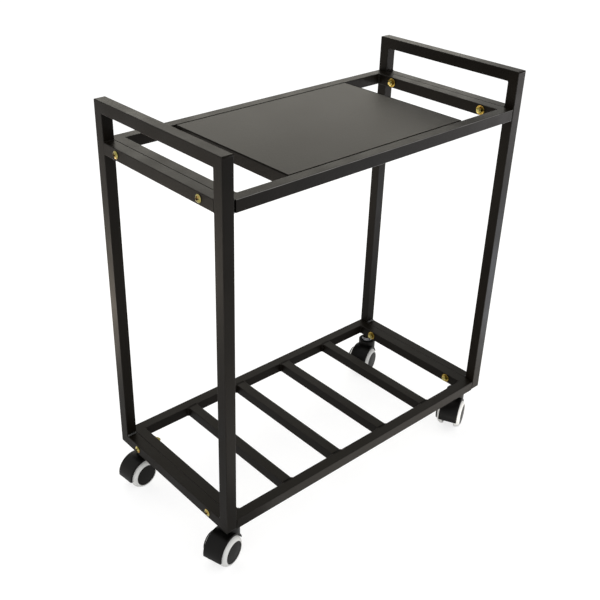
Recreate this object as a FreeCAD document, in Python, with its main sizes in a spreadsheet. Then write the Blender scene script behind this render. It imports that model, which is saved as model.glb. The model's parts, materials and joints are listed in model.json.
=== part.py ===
import FreeCAD, Part
import math
import os
import re
import Sketcher
from FreeCAD import Placement, Rotation, Vector

# Battery trolley: two end frames of square tube, two shelves bolted between them, four swivel casters.
# X runs along the length, Y from front to back, Z up from the floor under the middle of the frame.

SIZES = {
    # Whole frame
    "length": 691,            # over the outer faces of the end frames
    "depth": 336,             # over the outer faces of the posts
    "frame_height": 693,      # from the underside of the lower rails to the top of the handle bars
    "shelf_height": 624,      # from the same underside to the top of the upper shelf
    "caster_height": 88,      # from the floor to that underside
    # Square steel tube
    "tube": 21,
    "wall": 1.5,
    "tube_round": 1.2,        # outer edge radius of the rolled tube
    "bore_round": 0.3,        # inner edge radius
    "weld_round": 3,          # radius ground on the outside of a welded mitre
    "foot_round": 4.5,        # the same on the feet of the end frames
    # Sheet panel of the upper shelf
    "panel_length": 406,
    "panel_gap": 1.2,         # seam between the sheet and the rails beside it
    "sheet": 1.5,
    # M6 bolts that hold the shelves to the end frames
    "bolt_inset": 56,         # from the outer face of a post to the bolt
    "bolt_dia": 6,
    "bolt_hole": 6.6,
    "bolt_tip": 2.5,          # thread that stands out of the nut
    "bolt_head_dia": 14,
    "bolt_head_height": 3.8,
    "bolt_head_rim": 0.8,
    "recess_length": 6.4,
    "recess_width": 1.5,
    "recess_depth": 2.2,
    "washer_dia": 18,
    "washer_hole": 6.4,
    "washer_thick": 1.6,
    "nut_flats": 10,
    "nut_height": 5,
    "thread_gap": 0.1,        # added to a nut's bore so that it clears the shank
    # Caster stems, M10
    "stem_inset": 34,         # from the outer face of a post to the stem
    "stem_dia": 10,
    "stem_hole": 10.6,
    "stem_foot": 46.5,        # height of the stem's lower end
    "stem_top": 102,          # height of its upper end, inside the rail
    "stem_fit": 0.1,          # running clearance on the diameter
    "collar_dia": 22,
    "collar_thick": 2.5,
    "collar_lift": 0.3,       # running gap under the collar
    "lock_nut_flats": 17,
    "lock_nut_height": 8,
    "flange_dia": 21,
    "flange_thick": 1.6,
    "weld_nut_flats": 15,
    "weld_nut_height": 8,
    # Caster hoods
    "trail": 20.5,            # from the stem to the axle
    "hood_dia": 69,
    "hood_width": 39.6,
    "hood_round": 2.5,
    "hood_low": 26,           # height of the rim on the trailing side
    "neck_dia": 38,
    "neck_top": 75.4,
    "neck_low": 43.5,         # height of the rim on the leading side
    "neck_round": 1.6,
    "web": 22,                # solid middle between the two wheel wells
    "well_dia": 62.4,
    "boss_dia": 18,
    "race_dia": 23,
    "race_depth": 1.6,
    # Twin wheels, measured along the axle from the middle of the caster
    "wheel_dia": 60,
    "axle_dia": 8,
    "axle_fit": 0.1,          # running clearance on the diameter
    "axle_end": 21.5,
    "hub_start": 11.5,
    "hub_dia": 18,
    "bore_end": 21.8,
    "disc_start": 19.4,
    "rim_start": 12.4,
    "rim_inner_dia": 45.8,
    "rim_dia": 51.8,
    "cap_start": 21,
    "cap_dia": 44.4,
    "cap_edge": 24.1,
    "cap_crown": 24.8,
    "cover_dia": 42,          # proud cover on the second wheel of each caster
    "cover_end": 28.6,
    "cover_round": 1.2,
    "tread_start": 12.2,
    "tread_step": 21.1,
    "tread_shoulder": 14.5,   # where the running face starts to curve down to the lip
    "tread_end": 25,
    "tread_inner_dia": 52,
    "tread_lip_dia": 44.8,
    "tread_round": 1.8,
    # Heading of each caster, from its stem to its axle, in degrees from +X
    "front_left_heading": 196,
    "rear_left_heading": 185,
    "front_right_heading": 205,
    "rear_right_heading": 199.5,
}

ACROSS = Vector(1, 0, 0)
BACK = Vector(0, 1, 0)
UP = Vector(0, 0, 1)

doc = FreeCAD.newDocument("BatteryTrolley")
sheet = doc.addObject("Spreadsheet::Sheet", "Sizes")
for row, (name, number) in enumerate(SIZES.items(), 1):
    sheet.set(f"A{row}", name)
    sheet.set(f"B{row}", str(number))
    sheet.setAlias(f"B{row}", name)
doc.recompute()

nodes = []


# Formulas, sketches and features

def formula(text):
    """Expression in which each size's name refers to the sheet."""
    return re.sub(r"[a-z_]+", lambda word: "Sizes." + word[0] if word[0] in SIZES else word[0], text)


def value(text):
    """Number that a formula comes to."""
    return sheet.evalExpression(formula(text))


def new_body(label, is_node=True):
    """Empty body; a node is written to its own file."""
    body = doc.addObject("PartDesign::Body", label)
    if is_node:
        nodes.append(body)
    return body


def new_sketch(body, role, offset="0"):
    """Sketch on an origin plane of the body, moved along the plane's normal by offset."""
    plane = next(item for item in body.Origin.OriginFeatures if item.Role == role)
    sketch = body.newObject("Sketcher::SketchObject", "Sketch")
    sketch.AttachmentSupport = [(plane, "")]
    sketch.MapMode = "FlatFace"
    sketch.setExpression("AttachmentOffset.Base.z", formula(offset))
    return sketch


def dimension(sketch, text, *place):
    """Dimension of a sketch, driven by a formula."""
    number = sketch.addConstraint(Sketcher.Constraint(*place, value(text)))
    sketch.setExpression(f"Constraints[{number}]", formula(text))


def pin(sketch, edge, point, x, y):
    """Fixes one point of a sketch by the formulas of its place."""
    dimension(sketch, x, "DistanceX", edge, point)
    dimension(sketch, y, "DistanceY", edge, point)


def circle(sketch, x, y, diameter):
    """Circle of a sketch."""
    centre = Vector(value(x), value(y), 0)
    edge = sketch.addGeometry(Part.Circle(centre, UP, value(diameter) / 2), False)
    pin(sketch, edge, 3, x, y)
    dimension(sketch, diameter, "Diameter", edge)


def arc(start, end, radius, turn):
    """Arc between two points that turns left (1) or right (-1)."""
    chord = end - start
    rise = math.sqrt(radius ** 2 - chord.Length ** 2 / 4)
    centre = start + chord * 0.5 + UP.cross(chord).normalize() * (turn * rise)
    first, last = (start, end) if turn > 0 else (end, start)
    opening = math.atan2(first.y - centre.y, first.x - centre.x)
    closing = math.atan2(last.y - centre.y, last.x - centre.x)
    if closing < opening:
        closing += 2 * math.pi
    return Part.ArcOfCircle(Part.Circle(centre, UP, radius), opening, closing)


def outline(sketch, corners):
    """Closed outline through corners (x, y); one with (x, y, radius, turn) is reached by an arc."""
    places = [Vector(value(corner[0]), value(corner[1]), 0) for corner in corners]
    ends = []
    for index, corner in enumerate(corners):
        start = places[index - 1]
        end = places[index]
        if len(corner) == 2:
            edge = sketch.addGeometry(Part.LineSegment(start, end), False)
            ends.append((edge, 1, 2))
        else:
            x, y, radius, turn = corner
            edge = sketch.addGeometry(arc(start, end, value(radius), turn), False)
            dimension(sketch, radius, "Radius", edge)
            ends.append((edge, 1, 2) if turn > 0 else (edge, 2, 1))
        pin(sketch, edge, ends[-1][2], corner[0], corner[1])
    for index, (edge, first, last) in enumerate(ends):
        before = ends[index - 1]
        sketch.addConstraint(Sketcher.Constraint("Coincident", before[0], before[2], edge, first))


def rectangle(sketch, width, height):
    """Rectangle about the middle of a sketch."""
    x = f"({width}) / 2"
    y = f"({height}) / 2"
    outline(sketch, [(f"-{x}", f"-{y}"), (x, f"-{y}"), (x, y), (f"-{x}", y)])


def hexagon(sketch, flats, first=0):
    """Hexagon about the middle of a sketch, from its width across the flats and its first corner's angle."""
    reach = f"{flats} / sqrt(3)"
    angles = [first + 60 * k for k in range(6)]
    outline(sketch, [(f"{reach} * cos({angle})", f"{reach} * sin({angle})") for angle in angles])


def pad(body, sketch, length, side="One side"):
    """Solid drawn out of a sketch along its normal."""
    feature = body.newObject("PartDesign::Pad", "Pad")
    feature.Profile = sketch
    feature.SideType = side
    feature.setExpression("Length", formula(length))
    return feature


def revolve(body, sketch, axis):
    """Solid turned from a sketch about one of its axes."""
    feature = body.newObject("PartDesign::Revolution", "Revolution")
    feature.Profile = sketch
    feature.ReferenceAxis = (sketch, [axis])
    return feature


def cut(body, sketch, depth=None, side="One side", reverse=False):
    """Cuts a sketch out of the body, right through where no depth is given."""
    doc.recompute()
    before = body.Shape.Volume
    feature = body.newObject("PartDesign::Pocket", "Pocket")
    feature.Profile = sketch
    feature.SideType = side
    feature.Reversed = reverse
    if depth is None:
        feature.Type = "ThroughAll"
    else:
        feature.setExpression("Length", formula(depth))
    doc.recompute()
    if body.Shape.Volume > before - 0.01:
        raise RuntimeError(f"a cut misses {body.Label}")


def round_edges(body, radius, wanted):
    """Rounds the edges of the body that a test picks out."""
    doc.recompute()
    base = body.Tip
    names = [f"Edge{n}" for n, edge in enumerate(base.Shape.Edges, 1) if wanted(edge)]
    feature = body.newObject("PartDesign::Fillet", "Fillet")
    feature.Base = (base, names)
    feature.setExpression("Radius", formula(radius))


def place(item, x, y, z, turn=Rotation()):
    """Puts a piece at a place given by formulas."""
    item.Placement = Placement(Vector(), turn)
    for axis, text in zip("xyz", (x, y, z)):
        item.setExpression(f"Placement.Base.{axis}", formula(text))


def turned(along, inner):
    """Turn that lays a piece's Z along one direction and its X along another."""
    return Rotation(inner, along.cross(inner), along, "ZXY")


def group(label, pattern, spots):
    """Copies of one fastener, kept as separate solids of one node."""
    copies = []
    for number, (x, y, z, turn) in enumerate(spots, 1):
        copy = doc.addObject("App::Link", f"{label}_{number}")
        copy.LinkedObject = pattern
        place(copy, x, y, z, turn)
        copies.append(copy)
    compound = doc.addObject("Part::Compound", label)
    compound.Links = copies
    nodes.append(compound)


# Square tube: centred on its length, which runs along its own Z

def rounded_square(sketch, half, radius):
    """Square section with rounded corners."""
    flat = f"({half} - {radius})"
    outline(sketch, [
        (flat, f"-({half})"), (half, f"-{flat}", radius, 1),
        (half, flat), (flat, half, radius, 1),
        (f"-{flat}", half), (f"-({half})", flat, radius, 1),
        (f"-({half})", f"-{flat}"), (f"-{flat}", f"-({half})", radius, 1),
    ])


def tube(label, length):
    """Length of tube with square-cut ends."""
    body = new_body(label)
    section = new_sketch(body, "XY_Plane")
    rounded_square(section, "tube / 2", "tube_round")
    rounded_square(section, "(tube / 2 - wall)", "bore_round")
    pad(body, section, length, "Symmetric")
    return body


def mitre(body, length, upper_round="weld_round", lower_round="weld_round"):
    """Cuts both ends at 45 degrees, shorter on the +X side, and grinds the long corners round."""
    sketch = new_sketch(body, "XZ_Plane")
    for end, radius in ((1, upper_round), (-1, lower_round)):
        eased = f"{radius} * (1 - sqrt(0.5))"
        outline(sketch, [
            ("-tube / 2", f"{end} * ({length} / 2 - {radius})"),
            (f"-tube / 2 + {eased}", f"{end} * ({length} / 2 - {eased})", radius, -end),
            ("tube / 2 + 1", f"{end} * ({length} / 2 - tube - 1)"),
            ("tube / 2 + 1", f"{end} * ({length} / 2 + 1)"),
            ("-tube / 2 - 1", f"{end} * ({length} / 2 + 1)"),
            ("-tube / 2 - 1", f"{end} * ({length} / 2 - {radius})"),
        ])
    cut(body, sketch, side="Symmetric")


def bolt_holes(body, role):
    """Two clearance holes right through the tube, square to an origin plane."""
    sketch = new_sketch(body, role)
    for end in (1, -1):
        circle(sketch, "0", f"{end} * (depth / 2 - bolt_inset)", "bolt_hole")
    cut(body, sketch, side="Symmetric")


def end_frame(side, sign):
    """Closed loop of two posts, a handle bar and two rails at one end of the trolley."""
    x = f"{sign} * (length - tube) / 2"
    for name, back in (("front", -1), ("rear", 1)):
        post = tube(f"{side}_{name}_post", "frame_height")
        mitre(post, "frame_height", lower_round="foot_round")
        place(post, x, f"{back} * (depth - tube) / 2", "caster_height + frame_height / 2",
              turned(UP, BACK * -back))
    handle = tube(f"{side}_handle_bar", "depth")
    mitre(handle, "depth")
    place(handle, x, "0", "caster_height + frame_height - tube / 2", turned(BACK, UP * -1))
    lower = tube(f"{side}_lower_rail", "depth")
    mitre(lower, "depth", "foot_round", "foot_round")
    bolt_holes(lower, "XZ_Plane")
    place(lower, x, "0", "caster_height + tube / 2", turned(BACK, UP))
    upper = tube(f"{side}_upper_rail", "(depth - 2 * tube)")
    bolt_holes(upper, "YZ_Plane")
    place(upper, x, "0", "caster_height + shelf_height - tube / 2", turned(BACK, ACROSS))


def shelf_frame(level, height):
    """Mitred rectangle of tube between the end frames; returns its end rails."""
    for name, back in (("front", -1), ("rear", 1)):
        rail = tube(f"{level}_{name}_rail", "(length - 2 * tube)")
        mitre(rail, "(length - 2 * tube)")
        place(rail, "0", f"{back} * (depth - tube) / 2", height, turned(ACROSS, BACK * -back))
    end_rails = []
    for name, sign in (("left", -1), ("right", 1)):
        rail = tube(f"{level}_{name}_end_rail", "depth")
        mitre(rail, "depth")
        bolt_holes(rail, "YZ_Plane")
        place(rail, f"{sign} * (length - 3 * tube) / 2", "0", height,
              turned(BACK * -sign, ACROSS * -sign))
        end_rails.append(rail)
    return end_rails


def upper_shelf():
    """Upper frame, a crossbar under each short edge of the panel, and the sheet panel itself."""
    shelf_frame("upper", "caster_height + shelf_height - tube / 2")
    for name, sign in (("left", -1), ("right", 1)):
        bar = tube(f"{name}_crossbar", "(depth - 2 * tube)")
        place(bar, f"{sign} * (panel_length - tube) / 2", "0",
              "caster_height + shelf_height - sheet - tube / 2", turned(BACK, ACROSS))
    panel = new_body("top_panel")
    sketch = new_sketch(panel, "XY_Plane")
    rectangle(sketch, "panel_length", "depth - 2 * tube - 2 * panel_gap")
    pad(panel, sketch, "sheet")
    round_edges(panel, "sheet / 3", lambda edge: edge.BoundBox.ZMin > value("sheet / 2"))
    place(panel, "0", "0", "caster_height + shelf_height - sheet")


def lower_shelf():
    """Lower frame with four slats, drilled for the caster stems through the underside."""
    slats = 4
    for rail in shelf_frame("lower", "caster_height + tube / 2"):
        sketch = new_sketch(rail, "XZ_Plane")
        for end in (1, -1):
            circle(sketch, "0", f"{end} * (depth / 2 - stem_inset)", "stem_hole")
        cut(rail, sketch, "tube")
    pitch = f"(length - 4 * tube + tube) / {slats + 1}"
    for number in range(slats):
        slat = tube(f"slat_{number + 1}", "(depth - 2 * tube)")
        place(slat, f"{number - (slats - 1) / 2} * {pitch}", "0", "caster_height + tube / 2",
              turned(BACK, ACROSS))


# Bolts, washers and nuts: X points from the head into the frame

def bolt():
    """Cross-recessed bolt with a domed head."""
    body = new_body("bolt", False)
    sketch = new_sketch(body, "XZ_Plane")
    shank_end = "2 * tube + washer_thick + nut_height + bolt_tip"
    rise = "(bolt_head_height - bolt_head_rim)"
    outline(sketch, [
        ("-bolt_head_height", "0", f"({rise}^2 + bolt_head_dia^2 / 4) / (2 * {rise})", 1),
        (shank_end, "0"), (shank_end, "bolt_dia / 2 - 0.6"),
        (f"{shank_end} - 0.6", "bolt_dia / 2"), ("0", "bolt_dia / 2"),
        ("0", "bolt_head_dia / 2"), ("-bolt_head_rim", "bolt_head_dia / 2"),
    ])
    revolve(body, sketch, "H_Axis")
    cross = new_sketch(body, "YZ_Plane", "-bolt_head_height - 0.1")
    arm = "recess_length / 2"
    half = "recess_width / 2"
    outline(cross, [
        (arm, f"-{half}"), (arm, half), (half, half),
        (half, arm), (f"-{half}", arm), (f"-{half}", half),
        (f"-{arm}", half), (f"-{arm}", f"-{half}"), (f"-{half}", f"-{half}"),
        (f"-{half}", f"-{arm}"), (half, f"-{arm}"), (half, f"-{half}"),
    ])
    cut(body, cross, "recess_depth + 0.1", reverse=True)
    return body


def washer():
    """Flat washer."""
    body = new_body("washer", False)
    sketch = new_sketch(body, "YZ_Plane")
    circle(sketch, "0", "0", "washer_dia")
    circle(sketch, "0", "0", "washer_hole")
    pad(body, sketch, "washer_thick")
    return body


def nut():
    """Hexagon nut."""
    body = new_body("nut", False)
    sketch = new_sketch(body, "YZ_Plane")
    hexagon(sketch, "nut_flats")
    circle(sketch, "0", "0", "bolt_dia + thread_gap")
    pad(body, sketch, "nut_height")
    return body


def frame_fasteners():
    """Two bolts at each end of each shelf, each with a washer and a nut inside the shelf."""
    heads = []
    washers = []
    nuts = []
    for sign in (-1, 1):
        turn = Rotation(UP, 90 + 90 * sign)
        for back in (-1, 1):
            y = f"{back} * (depth / 2 - bolt_inset)"
            for height in ("tube / 2", "shelf_height - tube / 2"):
                z = f"caster_height + {height}"
                heads.append((f"{sign} * length / 2", y, z, turn))
                washers.append((f"{sign} * (length / 2 - 2 * tube)", y, z, turn))
                nuts.append((f"{sign} * (length / 2 - 2 * tube - washer_thick)", y, z, turn))
    group("frame_bolts", bolt(), heads)
    group("frame_washers", washer(), washers)
    group("frame_nuts", nut(), nuts)


# Caster fixings: heights are above the floor

def stem():
    """Round stem with the collar that carries the caster's swivel race."""
    body = new_body("stem", False)
    sketch = new_sketch(body, "XZ_Plane")
    collar = "neck_top - race_depth + collar_lift"
    outline(sketch, [
        ("0", "stem_foot"), ("stem_dia / 2", "stem_foot"),
        ("stem_dia / 2", collar), ("collar_dia / 2", collar),
        ("collar_dia / 2", f"{collar} + collar_thick"), ("stem_dia / 2", f"{collar} + collar_thick"),
        ("stem_dia / 2", "stem_top"), ("0", "stem_top"),
    ])
    revolve(body, sketch, "V_Axis")
    return body


def lock_nut():
    """Flanged hexagon nut drawn up against the underside of the rail."""
    body = new_body("lock_nut", False)
    hex_sketch = new_sketch(body, "XY_Plane", "caster_height - lock_nut_height")
    hexagon(hex_sketch, "lock_nut_flats")
    pad(body, hex_sketch, "lock_nut_height - flange_thick")
    flange = new_sketch(body, "XY_Plane", "caster_height - flange_thick")
    circle(flange, "0", "0", "flange_dia")
    pad(body, flange, "flange_thick")
    bore = new_sketch(body, "XY_Plane")
    circle(bore, "0", "0", "stem_dia + thread_gap")
    cut(body, bore, reverse=True)
    return body


def weld_nut():
    """Hexagon nut welded inside the rail, over the stem hole, with two flats along the rail."""
    body = new_body("weld_nut", False)
    sketch = new_sketch(body, "XY_Plane", "caster_height + wall")
    hexagon(sketch, "weld_nut_flats", 30)
    circle(sketch, "0", "0", "stem_dia + thread_gap")
    pad(body, sketch, "weld_nut_height")
    return body


# Casters: X points from the stem to the axle, which lies along Y

def on_axle(body, diameter, offset="0"):
    """Sketch of a circle about the axle."""
    sketch = new_sketch(body, "XZ_Plane", offset)
    circle(sketch, "trail", "wheel_dia / 2", diameter)
    return sketch


def on_stem(body, diameter, height):
    """Sketch of a circle about the stem."""
    sketch = new_sketch(body, "XY_Plane", height)
    circle(sketch, "0", "0", diameter)
    return sketch


def hood(label):
    """Moulded hood: a drum over both wheels, a round neck, and a web that carries the axle."""
    body = new_body(label)
    pad(body, on_axle(body, "hood_dia"), "hood_width", "Symmetric")
    round_edges(body, "hood_round", lambda edge: len(edge.Vertexes) == 1)
    pad(body, on_stem(body, "neck_dia", "wheel_dia / 2"), "neck_top - wheel_dia / 2")
    round_edges(body, "neck_round", lambda edge: edge.BoundBox.ZMin > value("neck_top") - 0.01)
    rim = new_sketch(body, "XZ_Plane")
    outline(rim, [
        ("-neck_dia / 2 - 1", "neck_low"),
        ("-neck_dia / 2 - 1", "wheel_dia / 2 - hood_dia / 2 - 1"),
        ("trail + hood_dia / 2 + 1", "wheel_dia / 2 - hood_dia / 2 - 1"),
        ("trail + hood_dia / 2 + 1", "hood_low"),
    ])
    cut(body, rim, side="Symmetric")
    cut(body, on_axle(body, "well_dia", "web / 2"), reverse=True)
    cut(body, on_axle(body, "well_dia", "-web / 2"))
    pad(body, on_axle(body, "boss_dia"), "web", "Symmetric")
    cut(body, on_axle(body, "axle_dia"), side="Symmetric")
    cut(body, on_stem(body, "stem_dia + stem_fit", "neck_top"), "neck_top - stem_foot + collar_lift")
    cut(body, on_stem(body, "race_dia", "neck_top"), "race_depth")
    return body


def axle(label):
    """Plain steel pin through the web, with a wheel on each end."""
    body = new_body(label)
    pad(body, on_axle(body, "axle_dia"), "2 * axle_end", "Symmetric")
    return body


def wheel_core(label, covered):
    """Moulded wheel, hollow towards the web, with a closed outer face: a slight dome or a proud cover."""
    body = new_body(label)
    sketch = new_sketch(body, "XZ_Plane")
    bore = "(axle_dia + axle_fit) / 2"
    if covered:
        face = [
            ("cap_edge", "cover_dia / 2"), ("cover_end - cover_round", "cover_dia / 2"),
            ("cover_end", "cover_dia / 2 - cover_round", "cover_round", -1), ("cover_end", "0"),
        ]
    else:
        rise = "(cap_crown - cap_edge)"
        face = [("cap_crown", "0", f"({rise}^2 + cap_dia^2 / 4) / (2 * {rise})", -1)]
    outline(sketch, face + [
        ("bore_end", "0"), ("bore_end", bore), ("hub_start", bore),
        ("hub_start", "hub_dia / 2"), ("disc_start", "hub_dia / 2"),
        ("disc_start", "rim_inner_dia / 2"), ("rim_start", "rim_inner_dia / 2"),
        ("rim_start", "rim_dia / 2"), ("cap_start", "rim_dia / 2"),
        ("cap_start", "cap_dia / 2"), ("cap_edge", "cap_dia / 2"),
    ])
    revolve(body, sketch, "H_Axis")
    return body


def tread(label):
    """Soft ring moulded round the rim; its running face curves down to a pale lip on the outer face."""
    body = new_body(label)
    sketch = new_sketch(body, "XZ_Plane")
    run = "(tread_end - tread_shoulder)"
    drop = "(wheel_dia / 2 - tread_lip_dia / 2)"
    outline(sketch, [
        ("tread_start", "tread_inner_dia / 2"),
        ("tread_step", "tread_inner_dia / 2"), ("tread_step", "tread_lip_dia / 2"),
        ("tread_end", "tread_lip_dia / 2"),
        ("tread_shoulder", "wheel_dia / 2", f"({run}^2 + {drop}^2) / (2 * {drop})", 1),
        ("tread_start + tread_round", "wheel_dia / 2"),
        ("tread_start", "wheel_dia / 2 - tread_round", "tread_round", 1),
    ])
    revolve(body, sketch, "H_Axis")
    return body


def casters():
    """Four casters under the end rails of the lower shelf, each at its own heading."""
    stems = []
    for name, back, sign in (
            ("front_left", -1, -1), ("rear_left", 1, -1), ("front_right", -1, 1), ("rear_right", 1, 1)):
        heading = f"{name}_heading"
        x = f"{sign} * (length - 3 * tube) / 2"
        y = f"{back} * (depth / 2 - stem_inset)"
        stems.append((x, y, "0", Rotation()))
        along = Rotation(UP, value(heading))
        place(hood(f"{name}_caster_hood"), x, y, "0", along)
        place(axle(f"{name}_caster_axle"), x, y, "0", along)
        for number, quarter in ((1, 90), (2, -90)):
            outward = Rotation(UP, value(heading) + quarter)
            core = wheel_core(f"{name}_wheel_{number}", number == 2)
            for piece in (core, tread(f"{name}_tread_{number}")):
                place(piece, f"{x} + trail * cos({heading})", f"{y} + trail * sin({heading})",
                      "wheel_dia / 2", outward)
    group("caster_stems", stem(), stems)
    group("caster_lock_nuts", lock_nut(), stems)
    group("caster_weld_nuts", weld_nut(), stems)


end_frame("left", -1)
end_frame("right", 1)
upper_shelf()
lower_shelf()
frame_fasteners()
casters()
doc.recompute()

for item in doc.Objects:
    if "Invalid" in item.State or "Error" in item.State:
        raise RuntimeError(f"{item.Label} failed: {item.State}")
for node in nodes:
    if node.Shape.isNull() or not node.Shape.isValid():
        raise RuntimeError(f"{node.Label} has no valid shape")

os.makedirs("parts", exist_ok=True)
for node in nodes:
    node.Shape.exportStep(f"parts/{node.Label}.step")
    print(node.Label, len(node.Shape.Solids), round(node.Shape.Volume, 1))
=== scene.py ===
import json
import math
import random

import bmesh
import bpy
from mathutils import Matrix, Vector


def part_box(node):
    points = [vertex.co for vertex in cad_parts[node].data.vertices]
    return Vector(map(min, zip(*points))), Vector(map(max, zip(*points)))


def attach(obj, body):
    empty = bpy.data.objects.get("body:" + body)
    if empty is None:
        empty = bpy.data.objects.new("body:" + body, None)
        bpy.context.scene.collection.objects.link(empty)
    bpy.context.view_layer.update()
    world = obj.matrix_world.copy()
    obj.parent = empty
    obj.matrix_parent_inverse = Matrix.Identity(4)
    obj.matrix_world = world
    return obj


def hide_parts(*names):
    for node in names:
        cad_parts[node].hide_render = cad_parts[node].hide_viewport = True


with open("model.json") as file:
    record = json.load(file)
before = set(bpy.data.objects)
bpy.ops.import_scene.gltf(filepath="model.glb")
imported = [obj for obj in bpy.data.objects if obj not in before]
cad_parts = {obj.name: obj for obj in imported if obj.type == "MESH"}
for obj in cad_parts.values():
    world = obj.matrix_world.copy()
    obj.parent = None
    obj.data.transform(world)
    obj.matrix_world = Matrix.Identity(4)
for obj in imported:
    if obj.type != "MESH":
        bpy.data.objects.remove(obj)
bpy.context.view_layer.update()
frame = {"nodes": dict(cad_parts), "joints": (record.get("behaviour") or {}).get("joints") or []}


# End frames: two welded loops of square mild-steel tube, mitred and ground smooth at the corners.
# The whole loop is sprayed with black polyester powder and baked, which leaves a satin skin with
# a faint orange peel. Along the edges the colour is lightened a little: partly wear, partly a painted
# highlight.

def linear(code):
    """Linear RGBA of an sRGB hex colour."""
    shares = [int(code[k:k + 2], 16) / 255 for k in (1, 3, 5)]
    return tuple(s / 12.92 if s <= 0.04045 else ((s + 0.055) / 1.055) ** 2.4 for s in shares) + (1.0,)


def node(tree, kind, inputs=None, **settings):
    """Adds a node with its settings, values and links."""
    made = tree.nodes.new(kind)
    for name, setting in settings.items():
        setattr(made, name, setting)
    for socket, given in (inputs or {}).items():
        if isinstance(given, bpy.types.NodeSocket):
            tree.links.new(given, made.inputs[socket])
        else:
            made.inputs[socket].default_value = given
    return made


def new_material(name):
    """Empty node material and its tree."""
    material = bpy.data.materials.new(name)
    material.use_nodes = True
    material.node_tree.nodes.clear()
    return material, material.node_tree


def dress(material, *names):
    """Gives CAD nodes a material."""
    for name in names:
        mesh = frame["nodes"][name].data
        mesh.materials.clear()
        mesh.materials.append(material)


def keep(name, shaped, material, body, slot, *nodes):
    """Turns a finished shape into a piece that rides on a body and may stand for CAD nodes."""
    mesh = bpy.data.meshes.new(name)
    shaped.to_mesh(mesh)
    shaped.free()
    for coat in [material] if isinstance(material, bpy.types.Material) else material:
        mesh.materials.append(coat)
    piece = bpy.data.objects.new(name, mesh)
    bpy.context.scene.collection.objects.link(piece)
    even = piece.modifiers.new("even_normals", "WEIGHTED_NORMAL")
    even.keep_sharp = True
    even.weight = 100
    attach(piece, body)
    if nodes:
        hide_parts(*nodes)


def cad_copy(name):
    """Copy of a CAD node's mesh with its loose triangles merged."""
    same_point = 1e-6
    shaped = bmesh.new()
    shaped.from_mesh(frame["nodes"][name].data)
    bmesh.ops.remove_doubles(shaped, verts=shaped.verts, dist=same_point)
    return shaped


def join_flats(shaped):
    """Makes one face of the triangles that lie in a plane."""
    flat_within = math.radians(0.5)
    bmesh.ops.dissolve_limit(shaped, angle_limit=flat_within, verts=shaped.verts, edges=shaped.edges)


def smooth(shaped, widest=32.0):
    """Shades a shape smoothly, with hard edges where faces meet at more than a given angle."""
    for face in shaped.faces:
        face.smooth = True
    for edge in shaped.edges:
        edge.smooth = len(edge.link_faces) == 2 and edge.calc_face_angle() < math.radians(widest)


def powder_coat(name, body, worn_lit_edge_colour, patch, rough, drift, shine):
    """Baked polyester powder on steel: near-black, satin, with orange peel, and edges lightened partly by
    wear and partly by a painted highlight.

    The peel has its real wavelength. The grit is really about 0.2 mm and is drawn coarser, so that it shows.
    """
    peel_size = 0.003
    peel_depth = 0.0003
    grit_size = 0.0016
    grit_depth = 0.0001
    edge_from = 0.0096
    edge_to = 0.0101
    edge_gain = 1.6
    material, tree = new_material(name)
    place = node(tree, "ShaderNodeTexCoord").outputs["Object"]
    across = node(tree, "ShaderNodeUVMap", uv_map="section")
    edge_wear_and_highlight = node(tree, "ShaderNodeAttribute", attribute_name="edge_wear_and_highlight")
    cloud = node(tree, "ShaderNodeTexNoise", {"Vector": place, "Scale": 1 / patch, "Detail": 4.0})
    peel = node(tree, "ShaderNodeTexNoise", {"Vector": place, "Scale": 1 / peel_size, "Detail": 2.0})
    grit = node(tree, "ShaderNodeTexNoise", {"Vector": place, "Scale": 1 / grit_size, "Detail": 1.0})
    across = node(tree, "ShaderNodeVectorMath", {0: across.outputs[0]}, operation="ABSOLUTE")
    across = node(tree, "ShaderNodeSeparateXYZ", {0: across.outputs[0]})
    nearer = node(tree, "ShaderNodeMath", {0: across.outputs["X"], 1: across.outputs["Y"]},
                  operation="MINIMUM")
    edge = node(tree, "ShaderNodeMapRange", {
        "Value": nearer.outputs[0], "From Min": edge_from, "From Max": edge_to,
        "To Min": 0.0, "To Max": edge_gain})
    # Lightens the rounded tube edges towards the pale colour: partly wear, partly a painted highlight.
    worn_lit_edge_share = node(tree, "ShaderNodeMath", {0: edge.outputs[0], 1: cloud.outputs[0]}, operation="MULTIPLY")
    worn_lit_edge_share = node(tree, "ShaderNodeMath", {0: worn_lit_edge_share.outputs[0], 1: edge_wear_and_highlight.outputs["Fac"]},
                  operation="MULTIPLY", use_clamp=True)
    tone = node(tree, "ShaderNodeMapRange", {
        "Value": cloud.outputs[0], "From Min": 0.3, "From Max": 0.7, "To Min": 0.8, "To Max": 1.2})
    shade = node(tree, "ShaderNodeVectorMath", {0: linear(body)[:3], "Scale": tone.outputs[0]},
                 operation="SCALE")
    colour = node(tree, "ShaderNodeMix", {
        "Factor": worn_lit_edge_share.outputs[0], "A": shade.outputs[0], "B": linear(worn_lit_edge_colour)}, data_type="RGBA")
    gloss = node(tree, "ShaderNodeMapRange", {
        "Value": cloud.outputs[0], "From Min": 0.3, "From Max": 0.7,
        "To Min": rough - drift, "To Max": rough + drift})
    skin = node(tree, "ShaderNodeBump", {
        "Height": peel.outputs[0], "Strength": 0.35, "Distance": peel_depth})
    skin = node(tree, "ShaderNodeBump", {
        "Height": grit.outputs[0], "Normal": skin.outputs[0], "Strength": 0.2, "Distance": grit_depth})
    surface = node(tree, "ShaderNodeBsdfPrincipled", {
        "Base Color": colour.outputs["Result"], "Roughness": gloss.outputs[0],
        "Normal": skin.outputs[0], "IOR": 1.5, "Specular IOR Level": shine})
    node(tree, "ShaderNodeOutputMaterial", {"Surface": surface.outputs[0]})
    return material


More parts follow.
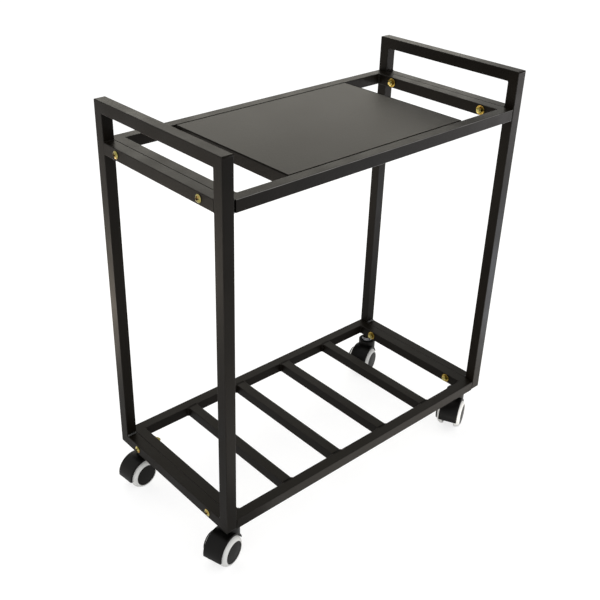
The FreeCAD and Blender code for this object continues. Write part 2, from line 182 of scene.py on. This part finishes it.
def coated_tube(name, along, material, edge_wear_and_highlight=0.1, cut=None):
    """Copy of a CAD tube with smooth rounds and a map of where each point lies across the section.

    The third argument says how far its edges are lightened, from 0 to 1, partly as wear and partly as a
    painted highlight, and cut may shorten the copy.
    """
    low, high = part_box(name)
    middle = (low + high) / 2
    first, second = [axis for axis in range(3) if axis != along]
    tube = cad_copy(name)
    join_flats(tube)
    if cut:
        cut(tube)
    section = tube.loops.layers.uv.new("section")
    edge_wear_and_highlight_layer = tube.verts.layers.float.new("edge_wear_and_highlight")
    for vert in tube.verts:
        vert[edge_wear_and_highlight_layer] = edge_wear_and_highlight
    for face in tube.faces:
        for loop in face.loops:
            offset = loop.vert.co - middle
            loop[section].uv = (offset[first], offset[second])
    smooth(tube)
    keep(f"{name}_tube", tube, material, "frame", "frame_paint", name)


def weld_bead(shaped, start, end, radius):
    """Run of weld metal along an inside corner: a bar that swells at each ripple and tapers at its ends."""
    ripple = 0.0021
    sides = 10
    end_share = 0.6
    crest_and_dip = (1.0, 0.84)
    least, most = 0.93, 1.07
    start = Vector(start)
    run = Vector(end) - start
    turn = run.to_track_quat("Z", "Y").to_matrix().to_4x4()
    rings = 2 * round(run.length / ripple)
    begun = bmesh.ops.create_circle(
        shaped, cap_ends=True, segments=sides, radius=radius * end_share,
        matrix=Matrix.Translation(start) @ turn)
    first = [edge for vert in begun["verts"] for edge in vert.link_edges]
    face = begun["verts"][0].link_faces[0]
    size = end_share
    for ring in range(1, rings + 1):
        face = bmesh.ops.extrude_discrete_faces(shaped, faces=[face])["faces"][0]
        bmesh.ops.translate(shaped, verts=face.verts, vec=run / rings)
        wanted = end_share
        if ring < rings:
            wanted = crest_and_dip[ring % 2] * chance.uniform(least, most)
        bmesh.ops.scale(shaped, verts=face.verts, vec=[wanted / size] * 3,
                        space=Matrix.Translation(-start - run * (ring / rings)))
        size = wanted
    bmesh.ops.contextual_create(shaped, geom=list(set(first)))


chance = random.Random(7)
weld_angle = 60.0
tube_edge = 0.0012
handle_bead = 0.0026
foot_bead = 0.0042
# The pale edge colour stands for a little wear and for a painted highlight along the tube edges.
black, worn_and_lit_edge = "#110e0a", "#8a8886"
frame_paint = powder_coat("black_powder_coat", black, worn_and_lit_edge,
                          patch=0.045, rough=0.425, drift=0.045, shine=0.05)
weld_paint = powder_coat("black_powder_on_weld", black, worn_and_lit_edge,
                         patch=0.01, rough=0.265, drift=0.045, shine=0.6)
for side in ("left", "right"):
    for part, along in (("front_post", 2), ("rear_post", 2), ("handle_bar", 1), ("lower_rail", 1),
                        ("upper_rail", 1)):
        coated_tube(f"{side}_{part}", along, frame_paint)
    handle_low, handle_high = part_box(f"{side}_handle_bar")
    upper_low, upper_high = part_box(f"{side}_upper_rail")
    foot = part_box(f"{side}_lower_rail")[1].z
    for name, heights, bead, coat in (
            ("frame_welds", (handle_low.z, upper_high.z, upper_low.z), handle_bead, frame_paint),
            ("foot_welds", (foot,), foot_bead, weld_paint)):
        welds = bmesh.new()
        for y in (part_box(f"{side}_front_post")[1].y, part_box(f"{side}_rear_post")[0].y):
            for z in heights:
                weld_bead(welds, (handle_low.x + tube_edge, y, z), (handle_high.x - tube_edge, y, z), bead)
        smooth(welds, weld_angle)
        keep(f"{side}_{name}", welds, coat, "frame", "frame_paint")


# Shelf frames: mitred rectangles of the same tube, with two crossbars above and four slats below,
# welded up the inside corners and coated in one piece before they are bolted between the end frames.

def corner_welds(shaped, level, bars):
    """Upright beads in the inside corners of a shelf frame and on both sides of each end of its bars."""
    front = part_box(f"{level}_front_rail")[1].y
    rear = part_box(f"{level}_rear_rail")[0].y
    ends = (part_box(f"{level}_left_end_rail")[1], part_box(f"{level}_right_end_rail")[0])
    places = [(ends[0].x, f"{level}_front_rail"), (ends[1].x, f"{level}_front_rail")]
    for bar in bars:
        places += [(corner.x, bar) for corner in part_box(bar)]
    for x, height_from in places:
        low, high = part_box(height_from)
        for y in (front, rear):
            weld_bead(shaped, (x, y, low.z + tube_edge), (x, y, high.z - tube_edge), shelf_bead)


def ground_welds(shaped, level, bars):
    """Weld metal ground flush across the top and bottom of each end of the bars."""
    width = 0.0042
    depth = 0.0024
    for bar in bars:
        low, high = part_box(bar)
        for y in (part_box(f"{level}_front_rail")[1].y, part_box(f"{level}_rear_rail")[0].y):
            for z in (low.z + depth / 2, high.z - depth / 2):
                size = Matrix.Diagonal((high.x - low.x - 2 * tube_edge, width, depth, 1))
                bmesh.ops.create_cube(
                    shaped, size=1.0, matrix=Matrix.Translation(((low.x + high.x) / 2, y, z)) @ size)


def clipped_tip(shaped):
    """Saws the left tip off the upper front rail's mitre, which leaves a dark gap beside the post."""
    gap = 0.0025
    hair = 2e-5
    cut = bmesh.ops.bisect_plane(
        shaped, geom=shaped.verts[:] + shaped.edges[:] + shaped.faces[:], dist=1e-7, plane_no=(-1, 0, 0),
        plane_co=(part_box("upper_front_rail")[0].x + gap, 0, 0), clear_outer=True)["geom_cut"]
    rim = [item for item in cut if isinstance(item, bmesh.types.BMEdge)]
    bmesh.ops.holes_fill(shaped, edges=rim)
    bmesh.ops.dissolve_degenerate(shaped, dist=hair, edges=shaped.edges)


shelf_bead = 0.0048
shelf_bars = {"upper": ["left_crossbar", "right_crossbar"], "lower": [f"slat_{k}" for k in range(1, 5)]}
for level, bars in shelf_bars.items():
    for part, along in (("front_rail", 0), ("rear_rail", 0), ("left_end_rail", 1), ("right_end_rail", 1)):
        if (level, part) == ("upper", "front_rail"):
            # The upper front rail's edges are lightened fully: a painted highlight along its front top edge,
            # with some wear.
            coated_tube(f"{level}_{part}", along, frame_paint, edge_wear_and_highlight=1.0, cut=clipped_tip)
        else:
            coated_tube(f"{level}_{part}", along, frame_paint)
    for bar in bars:
        coated_tube(bar, 1, frame_paint)
    welds = bmesh.new()
    corner_welds(welds, level, bars)
    ground_welds(welds, level, bars)
    smooth(welds, weld_angle)
    keep(f"{level}_shelf_welds", welds, frame_paint, "frame", "frame_paint")


# Top panel: a flat sheet of mild steel let in flush between the upper rails and welded from below
# along both long seams. It takes the same powder, so it differs from the tube only in its broad face.

panel_paint = powder_coat("panel_powder_coat", black, worn_and_lit_edge,
                          patch=0.12, rough=0.415, drift=0.012, shine=0.05)
sheared_edge = 0.0007
sheet = cad_copy("top_panel")
join_flats(sheet)
bmesh.ops.bevel(sheet, geom=sheet.edges[:], offset=sheared_edge, affect="EDGES", segments=3, profile=0.5,
                material=-1)
smooth(sheet)
keep("panel_sheet", sheet, panel_paint, "frame", "panel_paint", "top_panel")

seam_radius = 0.002
seam_drop = 0.0008
panel_low, panel_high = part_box("top_panel")
seams = bmesh.new()
for y in (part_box("upper_front_rail")[1].y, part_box("upper_rear_rail")[0].y):
    weld_bead(seams, (panel_low.x, y, panel_low.z - seam_drop), (panel_high.x, y, panel_low.z - seam_drop),
              seam_radius)
smooth(seams, weld_angle)
keep("panel_seam_welds", seams, panel_paint, "frame", "panel_paint")


# Bolts, washers and nuts: M6 cross-recessed bolts, plain washers and hexagon nuts, zinc plated with
# a yellow chromate passivation that shines like brass and drifts between straw, olive and orange.

def plated(name, colours, patch, rough):
    """Plated steel whose passivation film varies in colour from place to place.

    The fine marks of plating are really about 0.1 mm and are drawn coarser, so that they show.
    """
    scratch_size = 0.0008
    scratch_depth = 0.0001
    material, tree = new_material(name)
    place = node(tree, "ShaderNodeTexCoord").outputs["Object"]
    film = node(tree, "ShaderNodeTexNoise", {"Vector": place, "Scale": 1 / patch, "Detail": 3.0})
    fine = node(tree, "ShaderNodeTexNoise", {"Vector": place, "Scale": 1 / scratch_size, "Detail": 2.0})
    first = node(tree, "ShaderNodeMapRange", {
        "Value": film.outputs[0], "From Min": 0.35, "From Max": 0.55})
    second = node(tree, "ShaderNodeMapRange", {
        "Value": film.outputs[0], "From Min": 0.55, "From Max": 0.7})
    colour = node(tree, "ShaderNodeMix", {
        "Factor": first.outputs[0], "A": linear(colours[0]), "B": linear(colours[1])}, data_type="RGBA")
    colour = node(tree, "ShaderNodeMix", {
        "Factor": second.outputs[0], "A": colour.outputs["Result"], "B": linear(colours[2])},
        data_type="RGBA")
    gloss = node(tree, "ShaderNodeMapRange", {
        "Value": fine.outputs[0], "From Min": 0.3, "From Max": 0.7,
        "To Min": rough - 0.08, "To Max": rough + 0.1})
    skin = node(tree, "ShaderNodeBump", {
        "Height": fine.outputs[0], "Strength": 0.2, "Distance": scratch_depth})
    surface = node(tree, "ShaderNodeBsdfPrincipled", {
        "Base Color": colour.outputs["Result"], "Roughness": gloss.outputs[0],
        "Normal": skin.outputs[0], "Metallic": 1.0})
    node(tree, "ShaderNodeOutputMaterial", {"Surface": surface.outputs[0]})
    return material


def lathe(shaped, outline, steps):
    """Turns an outline of (along, radius) points about the X axis."""
    verts = [shaped.verts.new((along, 0.0, radius)) for along, radius in outline]
    edges = [shaped.edges.new(pair) for pair in zip(verts, verts[1:])]
    bmesh.ops.spin(shaped, geom=verts + edges, cent=(0, 0, 0), axis=(1, 0, 0), angle=2 * math.pi,
                   steps=steps, use_merge=True)
    bmesh.ops.remove_doubles(shaped, verts=shaped.verts, dist=1e-6)
    bmesh.ops.recalc_face_normals(shaped, faces=shaped.faces)


def dome(edge, crown, radius, steps):
    """Outline points of a shallow dome, from its crown on the axis to its edge."""
    rise = edge - crown
    sphere = (rise ** 2 + radius ** 2) / (2 * rise)
    reach = math.asin(radius / sphere)
    return [(crown + sphere * (1 - math.cos(reach * k / steps)), sphere * math.sin(reach * k / steps))
            for k in range(steps + 1)]


def thread(start, end, crest, root, pitch):
    """Outline points of a screw thread, drawn as a row of rings."""
    profile = ((0.15, crest), (0.5, root), (0.6, root), (0.95, crest))
    turns = round((end - start) / pitch)
    return [(start + (k + share) * pitch, radius) for k in range(turns) for share, radius in profile]


def hexagon_nut(shaped, flats, start, height, bore):
    """Hexagon nut along the X axis with turned corners and a plain bore."""
    corner = flats / math.sqrt(3)
    flat_face = flats * 0.475
    mouth = bore * 1.2
    mouth_depth = bore * 0.2
    sloped = math.tan(math.radians(30))
    first_inset = 0.0002
    cuts_per_side = 5
    turn = Matrix.Translation((start + height / 2, 0, 0)) @ Matrix.Rotation(math.radians(90), 4, "Y")
    bmesh.ops.create_cone(shaped, cap_ends=True, segments=6, radius1=corner, radius2=corner, depth=height,
                          matrix=turn)
    caps = [face for face in shaped.faces if len(face.verts) == 6]
    rims = [edge for face in caps for edge in face.edges]
    bmesh.ops.subdivide_edges(shaped, edges=rims, cuts=cuts_per_side)
    caps = [face for face in shaped.faces if abs(face.normal.x) > 0.9]
    for radius, sunk in ((flat_face, 0.0), (mouth, 0.0), (bore, mouth_depth)):
        bmesh.ops.inset_individual(shaped, faces=caps, thickness=first_inset)
        for face in caps:
            for vert in face.verts:
                vert.co.yz = vert.co.yz.normalized() * radius
                vert.co.x -= math.copysign(sunk, face.normal.x)
    for vert in shaped.verts:
        beyond = max(0.0, vert.co.yz.length - flat_face)
        middle = start + height / 2
        vert.co.x += math.copysign(beyond * sloped, middle - vert.co.x)
    mouths = [edge for face in caps for edge in face.edges]
    bmesh.ops.delete(shaped, geom=caps, context="FACES_ONLY")
    bmesh.ops.bridge_loops(shaped, edges=mouths)
    bmesh.ops.recalc_face_normals(shaped, faces=shaped.faces)


def repeat(shaped, spots):
    """Copies a shape to each spot and takes the first one away."""
    pattern = shaped.verts[:] + shaped.edges[:] + shaped.faces[:]
    for spot in spots:
        copied = bmesh.ops.duplicate(shaped, geom=pattern)["geom"]
        bmesh.ops.transform(shaped, matrix=spot, space=Matrix.Identity(4),
                            verts=[item for item in copied if isinstance(item, bmesh.types.BMVert)])
    bmesh.ops.delete(shaped, geom=pattern[:len(shaped.verts)], context="VERTS")


def cross_recess(shaped, crown, length, width, depth):
    """Sinks a cross into the crown of a bolt head, narrower at its floor."""
    dome_end = crown + 0.0026
    floor_share = 0.8
    for distance in (width / 2, length / 2):
        for side in (-1, 1):
            for normal in ((0, 1, 0), (0, 0, 1)):
                near = [face for face in shaped.faces if face.calc_center_median().x < dome_end]
                parts = set(near) | {e for f in near for e in f.edges} | {v for f in near for v in f.verts}
                bmesh.ops.bisect_plane(shaped, geom=list(parts), dist=1e-7, plane_no=normal,
                                       plane_co=Vector(normal) * side * distance)
    sunk = []
    for face in shaped.faces:
        middle = face.calc_center_median()
        across = sorted((abs(middle.y), abs(middle.z)))
        if middle.x < dome_end and across[0] < width / 2 and across[1] < length / 2:
            sunk.append(face)
    raised = bmesh.ops.extrude_face_region(shaped, geom=sunk)["geom"]
    floor_verts = [item for item in raised if isinstance(item, bmesh.types.BMVert)]
    bmesh.ops.delete(shaped, geom=[face for face in sunk if face.is_valid], context="FACES_ONLY")
    # The floor and walls of the cross take the second material, a dark film that paints the shade in the
    # recess.
    for vert in floor_verts:
        vert.co.x = crown + depth
        vert.co.yz *= floor_share
        for face in vert.link_faces:
            face.material_index = 1


yellow_zinc = plated("yellow_passivated_zinc", ("#7b7638", "#a89d62", "#966730"), patch=0.005, rough=0.2)
amber_zinc = plated("amber_passivated_zinc", ("#6f5c26", "#96803f", "#7f5326"), patch=0.006, rough=0.28)
# The recess material is painted shade: a dark film standing in for the shade deep in the cross.
recess_painted_shade = plated("painted_shade_recess", ("#3a2712", "#57431c", "#7a3c18"), patch=0.004, rough=0.35)
bolt_radius = 0.003
thread_root = 0.0025
bolt_pitch = 0.001
head_radius = 0.007
head_height = 0.0038
head_rim = 0.0008
head_rings = 7
recess_length = 0.0084
recess_width = 0.0026
recess_depth = 0.0024
bolt_facets = 28
grip = 0.042
washer_bore = 0.0032
washer_radius = 0.009
washer_face = 0.0088
washer_edge = 0.0003
washer_thick = 0.0016
washer_facets = 36
nut_flats = 0.01
nut_height = 0.005
nut_clearance = 0.00005
plain_end = 0.004
point_length = 0.001
bolt_tip = 0.0025
bolt_end = grip + washer_thick + nut_height + bolt_tip
bolt_inset = 0.056

bolt_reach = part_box("left_handle_bar")[1].y - bolt_inset
spots = []
for side, facing in (("left", 0.0), ("right", math.pi)):
    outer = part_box(f"{side}_handle_bar")[0 if side == "left" else 1].x
    for rail in ("lower_rail", "upper_rail"):
        low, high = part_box(f"{side}_{rail}")
        for y in (-bolt_reach, bolt_reach):
            spots.append(Matrix.Translation((outer, y, (low.z + high.z) / 2))
                         @ Matrix.Rotation(facing, 4, "Z")
                         @ Matrix.Rotation(chance.uniform(0, math.pi), 4, "X"))

bolts = bmesh.new()
lathe(bolts, dome(-head_rim, -head_height, head_radius, head_rings)
      + [(0.0, head_radius), (0.0, bolt_radius)]
      + thread(grip - plain_end, bolt_end - point_length, bolt_radius, thread_root, bolt_pitch)
      + [(bolt_end, thread_root), (bolt_end, 0.0)], bolt_facets)
cross_recess(bolts, -head_height, recess_length, recess_width, recess_depth)
repeat(bolts, spots)
smooth(bolts)
keep("cross_head_bolts", bolts, [yellow_zinc, recess_painted_shade], "frame", "yellow_zinc", "frame_bolts")

washers = bmesh.new()
lathe(washers, [(grip + x, r) for x, r in (
    (0.0, washer_bore), (0.0, washer_face), (washer_edge, washer_radius),
    (washer_thick - washer_edge, washer_radius), (washer_thick, washer_face),
    (washer_thick, washer_bore), (0.0, washer_bore))], washer_facets)
repeat(washers, spots)
smooth(washers)
keep("plain_washers", washers, amber_zinc, "frame", "yellow_zinc", "frame_washers")

nuts = bmesh.new()
hexagon_nut(nuts, nut_flats, grip + washer_thick, nut_height, bolt_radius + nut_clearance)
repeat(nuts, spots)
smooth(nuts)
keep("hexagon_nuts", nuts, yellow_zinc, "frame", "yellow_zinc", "frame_nuts")


# Caster fixings: bright zinc-plated steel stems, turned with a collar and threaded above it, screwed
# into nuts inside the rails and locked by flanged nuts coated black like the frame, as painted shade under
# the rail.

bright_zinc = plated("bright_zinc", ("#d2d2d6", "#eaeaee", "#dcdcd8"), patch=0.01, rough=0.42)
dress(bright_zinc, "caster_weld_nuts")
swivels = [joint for joint in frame["joints"] if joint["name"].endswith("_swivel")]
upright = [Matrix.Translation((joint["pos_m"][0], joint["pos_m"][1], 0.0))
           @ Matrix.Rotation(math.radians(-90), 4, "Y") for joint in swivels]
stem_low, stem_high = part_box("caster_stems")
stem_radius = 0.005
stem_root = 0.0043
stem_pitch = 0.0015
stem_facets = 32
thread_gap = 0.0005
collar_low = 0.0741
collar_high = 0.0766
collar_radius = 0.011
collar_edge = 0.0004

stems = bmesh.new()
lathe(stems, [(stem_low.z, 0.0), (stem_low.z, stem_radius), (collar_low, stem_radius),
              (collar_low, collar_radius - collar_edge), (collar_low + collar_edge, collar_radius),
              (collar_high - collar_edge, collar_radius), (collar_high, collar_radius - collar_edge),
              (collar_high, stem_radius)]
      + thread(collar_high + thread_gap, stem_high.z - point_length, stem_radius, stem_root, stem_pitch)
      + [(stem_high.z, stem_root), (stem_high.z, 0.0)], stem_facets)
repeat(stems, upright)
smooth(stems)
keep("threaded_stems", stems, bright_zinc, "frame", "bright_zinc", "caster_stems")

lock_low, lock_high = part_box("caster_lock_nuts")
lock_flats = 0.017
flange = 0.0016
flange_slope = 0.0006
flange_edge = 0.0004
flange_bore = 0.0062
flange_foot = 0.0102
flange_radius = 0.0105
flange_face = 0.0103
flange_low = lock_high.z - flange
lock_nuts = bmesh.new()
hexagon_nut(lock_nuts, lock_flats, lock_low.z, lock_high.z - lock_low.z - flange, stem_radius + nut_clearance)
ring = bmesh.new()
lathe(ring, [(flange_low - flange_slope, flange_bore), (flange_low, flange_foot),
             (lock_high.z - flange_edge, flange_radius), (lock_high.z, flange_face),
             (lock_high.z, flange_bore), (flange_low - flange_slope, flange_bore)], stem_facets)
ring_mesh = bpy.data.meshes.new("flange")
ring.to_mesh(ring_mesh)
ring.free()
lock_nuts.from_mesh(ring_mesh)
bpy.data.meshes.remove(ring_mesh)
repeat(lock_nuts, upright)
smooth(lock_nuts)
# The lock nuts take the black frame coat: painted shade under the rail.
keep("flanged_lock_nuts", lock_nuts, frame_paint, "frame", "frame_paint", "caster_lock_nuts")


# Casters: the hood is one black nylon moulding, satin from a spark-eroded mould, that turns on the
# stem. A plain steel pin carries two black nylon wheels with a pale rubber tread moulded round them.

def moulded(name, body, dust, patch, rough, shine):
    """Moulded plastic or rubber: an even colour with faint flow marks, dust and a spark-eroded grain.

    The grain is really about 0.1 mm and is drawn coarser, so that it shows.
    """
    grain_size = 0.0012
    grain_depth = 0.00015
    material, tree = new_material(name)
    place = node(tree, "ShaderNodeTexCoord").outputs["Object"]
    cloud = node(tree, "ShaderNodeTexNoise", {"Vector": place, "Scale": 1 / patch, "Detail": 5.0})
    grain = node(tree, "ShaderNodeTexNoise", {"Vector": place, "Scale": 1 / grain_size, "Detail": 1.0})
    settled = node(tree, "ShaderNodeMapRange", {
        "Value": cloud.outputs[0], "From Min": 0.5, "From Max": 0.75, "To Min": 0.0, "To Max": 0.35})
    colour = node(tree, "ShaderNodeMix", {
        "Factor": settled.outputs[0], "A": linear(body), "B": linear(dust)}, data_type="RGBA")
    gloss = node(tree, "ShaderNodeMapRange", {
        "Value": cloud.outputs[0], "From Min": 0.3, "From Max": 0.7,
        "To Min": rough - 0.05, "To Max": rough + 0.06})
    skin = node(tree, "ShaderNodeBump", {
        "Height": grain.outputs[0], "Strength": 0.25, "Distance": grain_depth})
    surface = node(tree, "ShaderNodeBsdfPrincipled", {
        "Base Color": colour.outputs["Result"], "Roughness": gloss.outputs[0],
        "Normal": skin.outputs[0], "IOR": 1.5, "Specular IOR Level": shine})
    node(tree, "ShaderNodeOutputMaterial", {"Surface": surface.outputs[0]})
    return material


def arc(start, end, centre, steps):
    """Outline points along an arc, without its first point."""
    opening = math.atan2(start[1] - centre[1], start[0] - centre[0])
    closing = math.atan2(end[1] - centre[1], end[0] - centre[0])
    radius = math.dist(start, centre)
    return [(centre[0] + radius * math.cos(opening + (closing - opening) * k / steps),
             centre[1] + radius * math.sin(opening + (closing - opening) * k / steps))
            for k in range(1, steps + 1)]


caster_nylon = moulded("black_nylon", "#0a0908", "#151310", patch=0.02, rough=0.4, shine=0.14)
wheel_nylon = moulded("black_wheel_nylon", "#0f0d0b", "#1c1916", patch=0.016, rough=0.4, shine=0.075)
pale_tread = moulded("pale_rubber", "#dadad8", "#c8c8c5", patch=0.012, rough=0.6, shine=0.3)

wheel_facets = 72
axle_bore = 0.00405
hub_back, hub_radius = 0.0115, 0.009
web_back, web_front = 0.0194, 0.0218
rim_back, rim_front = 0.0124, 0.021
rim_bore, rim_radius = 0.0229, 0.0259
face_start, face_crown, face_radius = 0.0241, 0.0248, 0.0222
wheel_back = [(web_front, 0.0), (web_front, axle_bore), (hub_back, axle_bore), (hub_back, hub_radius),
              (web_back, hub_radius), (web_back, rim_bore), (rim_back, rim_bore), (rim_back, rim_radius),
              (rim_front, rim_radius), (rim_front, face_radius), (face_start, face_radius)]
domed_face = dome(face_start, face_crown, face_radius, 6)[::-1][1:]

cover_radius, cover_face, cover_round = 0.021, 0.0286, 0.0012
cover_bend = cover_face - cover_round
cover_flat = cover_radius - cover_round
covered_face = [(face_start, cover_radius), (cover_bend, cover_radius)] + arc(
    (cover_bend, cover_radius), (cover_face, cover_flat), (cover_bend, cover_flat), 4) + [(cover_face, 0.0)]

tread_back, tread_bore, tread_radius = 0.0122, 0.026, 0.03
tread_seat, tread_round = 0.0211, 0.0018
tread_bend = tread_back + tread_round
shoulder = (0.0145, tread_radius)
lip = (0.025, 0.0224)
fall = tread_radius - lip[1]
shoulder_radius = ((lip[0] - shoulder[0]) ** 2 + fall ** 2) / (2 * fall)
tread_outline = [(tread_back, tread_bore), (tread_seat, tread_bore), (tread_seat, lip[1]), lip] + arc(
    lip, shoulder, (shoulder[0], tread_radius - shoulder_radius), 12) + [(tread_bend, tread_radius)] + arc(
    (tread_bend, tread_radius), (tread_back, tread_radius - tread_round),
    (tread_bend, tread_radius - tread_round), 4) + [(tread_back, tread_bore)]

for corner in ("front_left", "rear_left", "front_right", "rear_right"):
    dress(bright_zinc, f"{corner}_caster_axle")
    hood = cad_copy(f"{corner}_caster_hood")
    smooth(hood)
    keep(f"{corner}_hood", hood, caster_nylon, f"{corner}_caster", "caster_nylon", f"{corner}_caster_hood")
    for number, face in ((1, domed_face), (2, covered_face)):
        body = f"{corner}_wheel_{number}_body"
        spin = next(joint for joint in frame["joints"] if joint["child"] == body)
        outward = Vector(spin["axis"]) * (1 if number == 1 else -1)
        spot = Matrix.Translation(spin["pos_m"]) @ outward.to_track_quat("X", "Z").to_matrix().to_4x4()
        core = bmesh.new()
        lathe(core, wheel_back + face, wheel_facets)
        bmesh.ops.transform(core, matrix=spot, verts=core.verts)
        smooth(core)
        keep(f"{corner}_core_{number}", core, wheel_nylon, body, "wheel_nylon", f"{corner}_wheel_{number}")
        tread = bmesh.new()
        lathe(tread, tread_outline, wheel_facets)
        bmesh.ops.transform(tread, matrix=spot, verts=tread.verts)
        smooth(tread)
        keep(f"{corner}_ring_{number}", tread, pale_tread, body, "pale_tread", f"{corner}_tread_{number}")


# Floor: a plain white sheet that runs on past the picture. Seen directly or in a reflection it is
# white, and it still takes the trolley's soft shadow.

floor_reach = 30.0
floor_glow = 0.76
floor_mesh = bpy.data.meshes.new("floor")
shaped = bmesh.new()
bmesh.ops.create_grid(shaped, x_segments=1, y_segments=1, size=floor_reach)
shaped.to_mesh(floor_mesh)
shaped.free()
floor = bpy.data.objects.new("floor", floor_mesh)
bpy.context.scene.collection.objects.link(floor)

floor_paper, tree = new_material("white_paper")
ray = node(tree, "ShaderNodeLightPath")
seen = node(tree, "ShaderNodeMath", {
    0: ray.outputs["Is Camera Ray"], 1: ray.outputs["Is Glossy Ray"]}, operation="MAXIMUM")
seen = node(tree, "ShaderNodeMath", {
    0: seen.outputs[0], 1: ray.outputs["Is Transmission Ray"]}, operation="MAXIMUM")
plain = node(tree, "ShaderNodeBsdfDiffuse", {"Color": linear("#f2f2f2")})
shaded = node(tree, "ShaderNodeBsdfDiffuse", {"Color": linear("#9a9a9a")})
glow = node(tree, "ShaderNodeEmission", {"Strength": floor_glow})
white = node(tree, "ShaderNodeAddShader", {0: shaded.outputs[0], 1: glow.outputs[0]})
paper = node(tree, "ShaderNodeMixShader", {0: seen.outputs[0], 1: plain.outputs[0], 2: white.outputs[0]})
node(tree, "ShaderNodeOutputMaterial", {"Surface": paper.outputs[0]})
floor_mesh.materials.append(floor_paper)


# Light: an even white room with a broad softbox and a narrower, brighter strip behind the trolley, and
# lit cards that lie on the floor at its left, its front and its right.

room = bpy.data.worlds.new("room")
bpy.context.scene.world = room
room.use_nodes = True
tree = room.node_tree
tree.nodes.clear()
sky = node(tree, "ShaderNodeBackground", {"Color": linear("#ffffff"), "Strength": 1.0})
node(tree, "ShaderNodeOutputWorld", {"Surface": sky.outputs[0]})


def softbox(name, place, aim, width, height, brightness, colour):
    """Rectangular lamp with an even face of a given brightness, where 1 is white."""
    lamp = bpy.data.lights.new(name, "AREA")
    lamp.shape = "RECTANGLE"
    lamp.size = width
    lamp.size_y = height
    lamp.energy = brightness * math.pi * width * height
    lamp.color = linear(colour)[:3]
    lamp_object = bpy.data.objects.new(name, lamp)
    lamp_object.location = place
    lamp_object.rotation_euler = (Vector(aim) - Vector(place)).to_track_quat("-Z", "Y").to_euler()
    lamp_object.visible_camera = False
    bpy.context.scene.collection.objects.link(lamp_object)


back_aim = (0.0, 0.0, 0.7)
softbox("back_softbox", (0.96, 1.15, 1.75), back_aim, 2.6, 1.1, 0.5, "#fffae7")
softbox("back_strip", (0.78, 1.43, 1.3), back_aim, 2.2, 0.46, 3.5, "#fff9e8")
card_height = 0.01
for name, x, y, width, depth, brightness, colour in (
        ("left_card", -0.65, 0.85, 0.8, 0.6, 4.8, "#fff0dc"),
        ("far_left_card", -1.5, 1.75, 1.0, 0.8, 2.2, "#fff0dc"),
        ("front_card", 0.2, -0.37, 0.8, 0.34, 2.6, "#fff8ee"),
        ("right_card", 0.95, -0.6, 0.7, 0.7, 6.5, "#f2f6ff"),
        ("far_right_card", 2.6, -1.0, 1.2, 0.8, 23.0, "#f6f2f2")):
    softbox(name, (x, y, card_height), (x, y, 1.0), width, depth, brightness, colour)


# Camera: at the photograph's viewing angle, with the shift that its framing needs.

camera = bpy.data.cameras.new("camera")
camera.sensor_width = 36.0
camera.lens = 53.699
camera.shift_x = 0.0526
camera.shift_y = -0.0268
look_down = math.radians(29.069)
heading = math.radians(-40.789)
roll = math.radians(0.770)
viewer = bpy.data.objects.new("camera", camera)
viewer.location = (-1.042193, -1.075610, 1.221126)
viewer.rotation_euler = (math.radians(90) - look_down, 0.0, heading)
viewer.rotation_euler.rotate_axis("Z", roll)
bpy.context.scene.collection.objects.link(viewer)
bpy.context.scene.camera = viewer

bpy.context.scene.view_settings.view_transform = "Standard"
